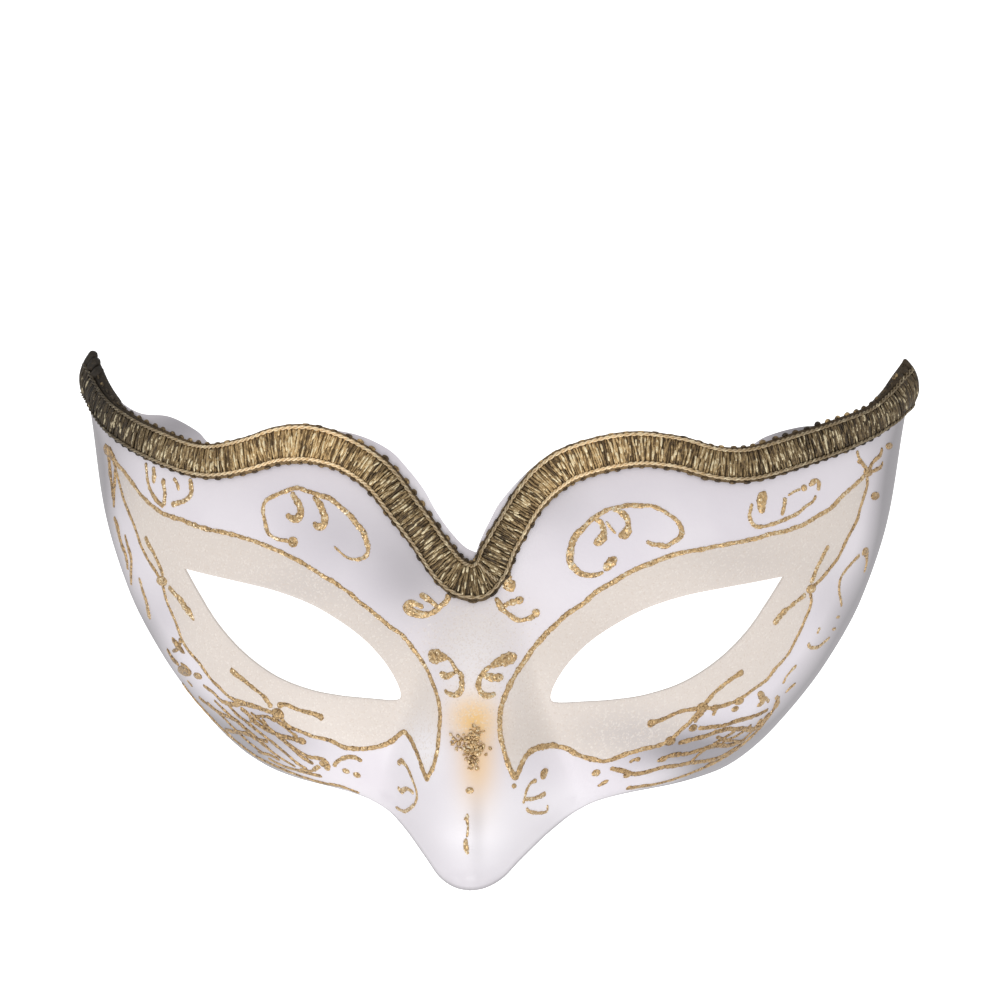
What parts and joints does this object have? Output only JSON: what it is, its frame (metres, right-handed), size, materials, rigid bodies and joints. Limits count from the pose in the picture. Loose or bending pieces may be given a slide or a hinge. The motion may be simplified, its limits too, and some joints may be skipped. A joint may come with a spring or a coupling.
{
  "type": "half mask",
  "caption": "Moulded half mask for a masked ball, with almond eye openings, upswept wing tips, a beaked nose and a braid along its top edge.",
  "frame": {"origin": "on the rest plane, under the middle of the mask's box; the mask lies face up on the rims of its temple walls", "axes": "+X to the viewer's right across the face, +Y up the forehead, +Z out of the face"},
  "size_m": [0.1801, 0.1072, 0.0625],
  "materials": {
    "shell": "pearl white satin paint, cream with fine glitter round the eyes, gold glitter scrolls, plain white inside",
    "braid": "woven gimp of gold and dark metallic threads between two twisted gold cords"
  },
  "bodies": {
    "root": {"mask_shell": "shell", "braid_trim": "braid"}
  },
  "joints": []
}
